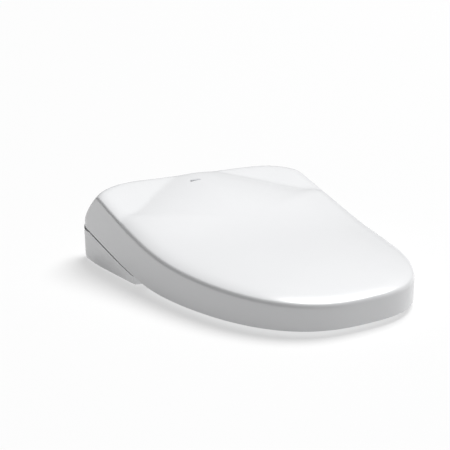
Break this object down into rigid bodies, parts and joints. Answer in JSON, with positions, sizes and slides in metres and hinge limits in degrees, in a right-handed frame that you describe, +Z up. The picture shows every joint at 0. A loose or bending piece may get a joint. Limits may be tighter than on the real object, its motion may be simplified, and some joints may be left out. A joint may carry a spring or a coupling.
{
  "type": "electric bidet seat",
  "caption": "White electric bidet toilet seat with rear housing, skirted lid and heated seat on one hinge line, sliding spray nozzle, dryer, deodorizer and slide-on mounting plate.",
  "frame": {"origin": "midway between the two seat bolts on the bowl deck, at the underside of the mounting plate", "axes": "+Z up, front of the seat towards -Y, user right-hand side when facing the seat towards -X"},
  "size_m": [0.3892, 0.53, 0.1302],
  "materials": {
    "shell_white": "glossy white moulded shell",
    "seat_white": "white, satin gloss",
    "engineering_grey": "glass-filled grey, matt",
    "dark_plastic": "black, matt",
    "clear_smoke": "smoked infrared window, glossy",
    "frosted_lens": "frosted pale lens",
    "soft_rubber": "pale grey, soft",
    "hose_rubber": "black hose",
    "steel": "plated and brushed",
    "brass": "machined",
    "board_green": "circuit board lacquer",
    "carbon_black": "porous carbon block",
    "foil": "heater foil",
    "badge_grey": "plain grey inlay"
  },
  "bodies": {
    "plate": {"mounting_plate": "engineering_grey", "bolt_bush_left": "soft_rubber", "bolt_bush_right": "soft_rubber"},
    "unit": {"base_pan": "shell_white", "upper_case": "shell_white", "base_foot_left": "soft_rubber", "base_foot_right": "soft_rubber", "hinge_block_left": "engineering_grey", "hinge_block_right": "engineering_grey", "hinge_pin_left": "steel", "hinge_pin_right": "steel", "seat_damper": "dark_plastic", "lid_damper": "dark_plastic", "water_inlet": "brass", "inlet_strainer": "steel", "solenoid_valve": "engineering_grey", "inlet_hose": "hose_rubber", "heater_hose": "hose_rubber", "valve_hose": "hose_rubber", "nozzle_hose": "hose_rubber", "water_heater": "dark_plastic", "flow_valve": "engineering_grey", "vacuum_breaker": "engineering_grey", "nozzle_guide": "engineering_grey", "nozzle_motor": "steel", "dryer_housing": "dark_plastic", "dryer_motor": "steel", "dryer_duct": "dark_plastic", "deodorizer_housing": "dark_plastic", "deodorizer_motor": "steel", "cord_gland": "dark_plastic", "power_supply": "steel", "control_board": "board_green", "night_light_lens": "frosted_lens", "sensor_window": "clear_smoke"},
    "seat": {"seat_top": "seat_white", "seat_base": "seat_white", "seat_heater": "foil", "seat_bumper_front_left": "soft_rubber", "seat_bumper_front_right": "soft_rubber", "seat_bumper_rear_left": "soft_rubber", "seat_bumper_rear_right": "soft_rubber"},
    "lid": {"lid_shell": "shell_white", "lid_bumper_left": "soft_rubber", "lid_bumper_right": "soft_rubber", "lid_badge": "badge_grey", "lid_magnet": "steel"},
    "nozzle": {"nozzle_tube": "seat_white", "nozzle_tip": "seat_white", "nozzle_rack": "engineering_grey"},
    "pinion": {"nozzle_pinion": "engineering_grey"},
    "dryer_rotor": {"dryer_fan": "engineering_grey"},
    "deodorizer_rotor": {"deodorizer_fan": "engineering_grey"},
    "drawer": {"filter_drawer": "shell_white", "carbon_filter": "carbon_black"},
    "stop_button": {"aux_button_stop": "seat_white"},
    "wash_button": {"aux_button_wash": "seat_white"},
    "release": {"release_button": "seat_white"}
  },
  "joints": [
    {"name": "unit_slide", "type": "slide", "parent": "plate", "child": "unit", "axis": [0, -1, 0], "range_m": [0, 0.06]},
    {"name": "seat_hinge", "type": "hinge", "parent": "unit", "child": "seat", "pos_m": [0, 0.027, 0.095], "axis": [-1, 0, 0], "range_deg": [0, 100]},
    {"name": "lid_hinge", "type": "hinge", "parent": "seat", "child": "lid", "pos_m": [0, 0.027, 0.095], "axis": [1, 0, 0], "range_deg": [-105, 0]},
    {"name": "nozzle_slide", "type": "slide", "parent": "unit", "child": "nozzle", "axis": [0, -0.8192, -0.5736], "range_m": [0, 0.09]},
    {"name": "pinion_turn", "type": "hinge", "parent": "unit", "child": "pinion", "pos_m": [0.0195, -0.07985, 0.05441], "axis": [0, -0.5736, 0.8192], "range_deg": [-90, 900]},
    {"name": "dryer_fan_spin", "type": "hinge", "parent": "unit", "child": "dryer_rotor", "pos_m": [0.075, -0.05, 0.03], "axis": [0, 0, 1], "continuous": true},
    {"name": "deodorizer_fan_spin", "type": "hinge", "parent": "unit", "child": "deodorizer_rotor", "pos_m": [0, 0.02, 0.025], "axis": [0, 0, 1], "continuous": true},
    {"name": "filter_drawer_slide", "type": "slide", "parent": "unit", "child": "drawer", "axis": [1, 0, 0], "range_m": [0, 0.045]},
    {"name": "stop_button_press", "type": "slide", "parent": "unit", "child": "stop_button", "axis": [-1, 0, 0], "range_m": [0, 0.0015], "stiffness_N_per_m": 400},
    {"name": "wash_button_press", "type": "slide", "parent": "unit", "child": "wash_button", "axis": [-1, 0, 0], "range_m": [0, 0.0015], "stiffness_N_per_m": 400},
    {"name": "release_press", "type": "slide", "parent": "unit", "child": "release", "axis": [-1, 0, 0], "range_m": [0, 0.0025], "stiffness_N_per_m": 600}
  ],
  "couplings": [
    {"joint": "pinion_turn", "follows": "nozzle_slide", "rad_per_m": 125}
  ]
}
